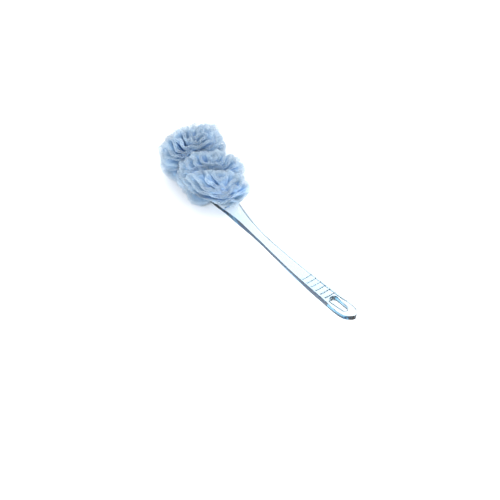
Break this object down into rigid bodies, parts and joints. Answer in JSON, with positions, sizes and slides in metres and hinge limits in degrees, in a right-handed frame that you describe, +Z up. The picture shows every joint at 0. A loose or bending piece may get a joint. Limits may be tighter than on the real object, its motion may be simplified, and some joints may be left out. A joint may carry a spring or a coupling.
{
  "type": "back scrubber",
  "caption": "Long-handled bath brush: netting rosettes laced on the paddle of a clear one-piece handle with grip ribs and a tapered hang slot.",
  "frame": {"origin": "on the surface the scrubber rests on, under the centre of its overall box", "axes": "+X along the handle from the netting head to the hang end, +Z up, out of the ribbed front face"},
  "size_m": [0.4074, 0.0987, 0.0829],
  "materials": {
    "clear_acrylic": "polished, clear, faint blue tint",
    "netting": "soft extruded diamond-mesh netting, pale blue, slightly translucent",
    "cord": "twisted cord"
  },
  "bodies": {
    "handle_body": {"handle": "clear_acrylic", "tip_tie_cord": "cord", "middle_tie_cord": "cord", "neck_tie_cord": "cord"},
    "front_tip": {"front_tip_netting": "netting"},
    "front_middle": {"front_middle_netting": "netting"},
    "front_neck": {"front_neck_netting": "netting"},
    "back_tip": {"back_tip_netting": "netting"},
    "back_middle": {"back_middle_netting": "netting"}
  },
  "joints": [
    {"name": "front_tip_twist", "type": "hinge", "parent": "handle_body", "child": "front_tip", "pos_m": [-0.1695, 0, 0.02751], "axis": [0.1682, 0, 0.9858], "range_deg": [-5, 5], "stiffness_Nm_per_rad": 0.02},
    {"name": "front_middle_twist", "type": "hinge", "parent": "handle_body", "child": "front_middle", "pos_m": [-0.119, 0, 0.0189], "axis": [0.1682, 0, 0.9858], "range_deg": [-5, 5], "stiffness_Nm_per_rad": 0.02},
    {"name": "front_neck_twist", "type": "hinge", "parent": "handle_body", "child": "front_neck", "pos_m": [-0.0775, 0, 0.01183], "axis": [0.1682, 0, 0.9858], "range_deg": [-5, 5], "stiffness_Nm_per_rad": 0.02},
    {"name": "back_tip_twist", "type": "hinge", "parent": "handle_body", "child": "back_tip", "pos_m": [-0.1695, 0, 0.02751], "axis": [0.1682, 0, 0.9858], "range_deg": [-5, 5], "stiffness_Nm_per_rad": 0.02},
    {"name": "back_middle_twist", "type": "hinge", "parent": "handle_body", "child": "back_middle", "pos_m": [-0.119, 0, 0.0189], "axis": [0.1682, 0, 0.9858], "range_deg": [-5, 5], "stiffness_Nm_per_rad": 0.02}
  ]
}
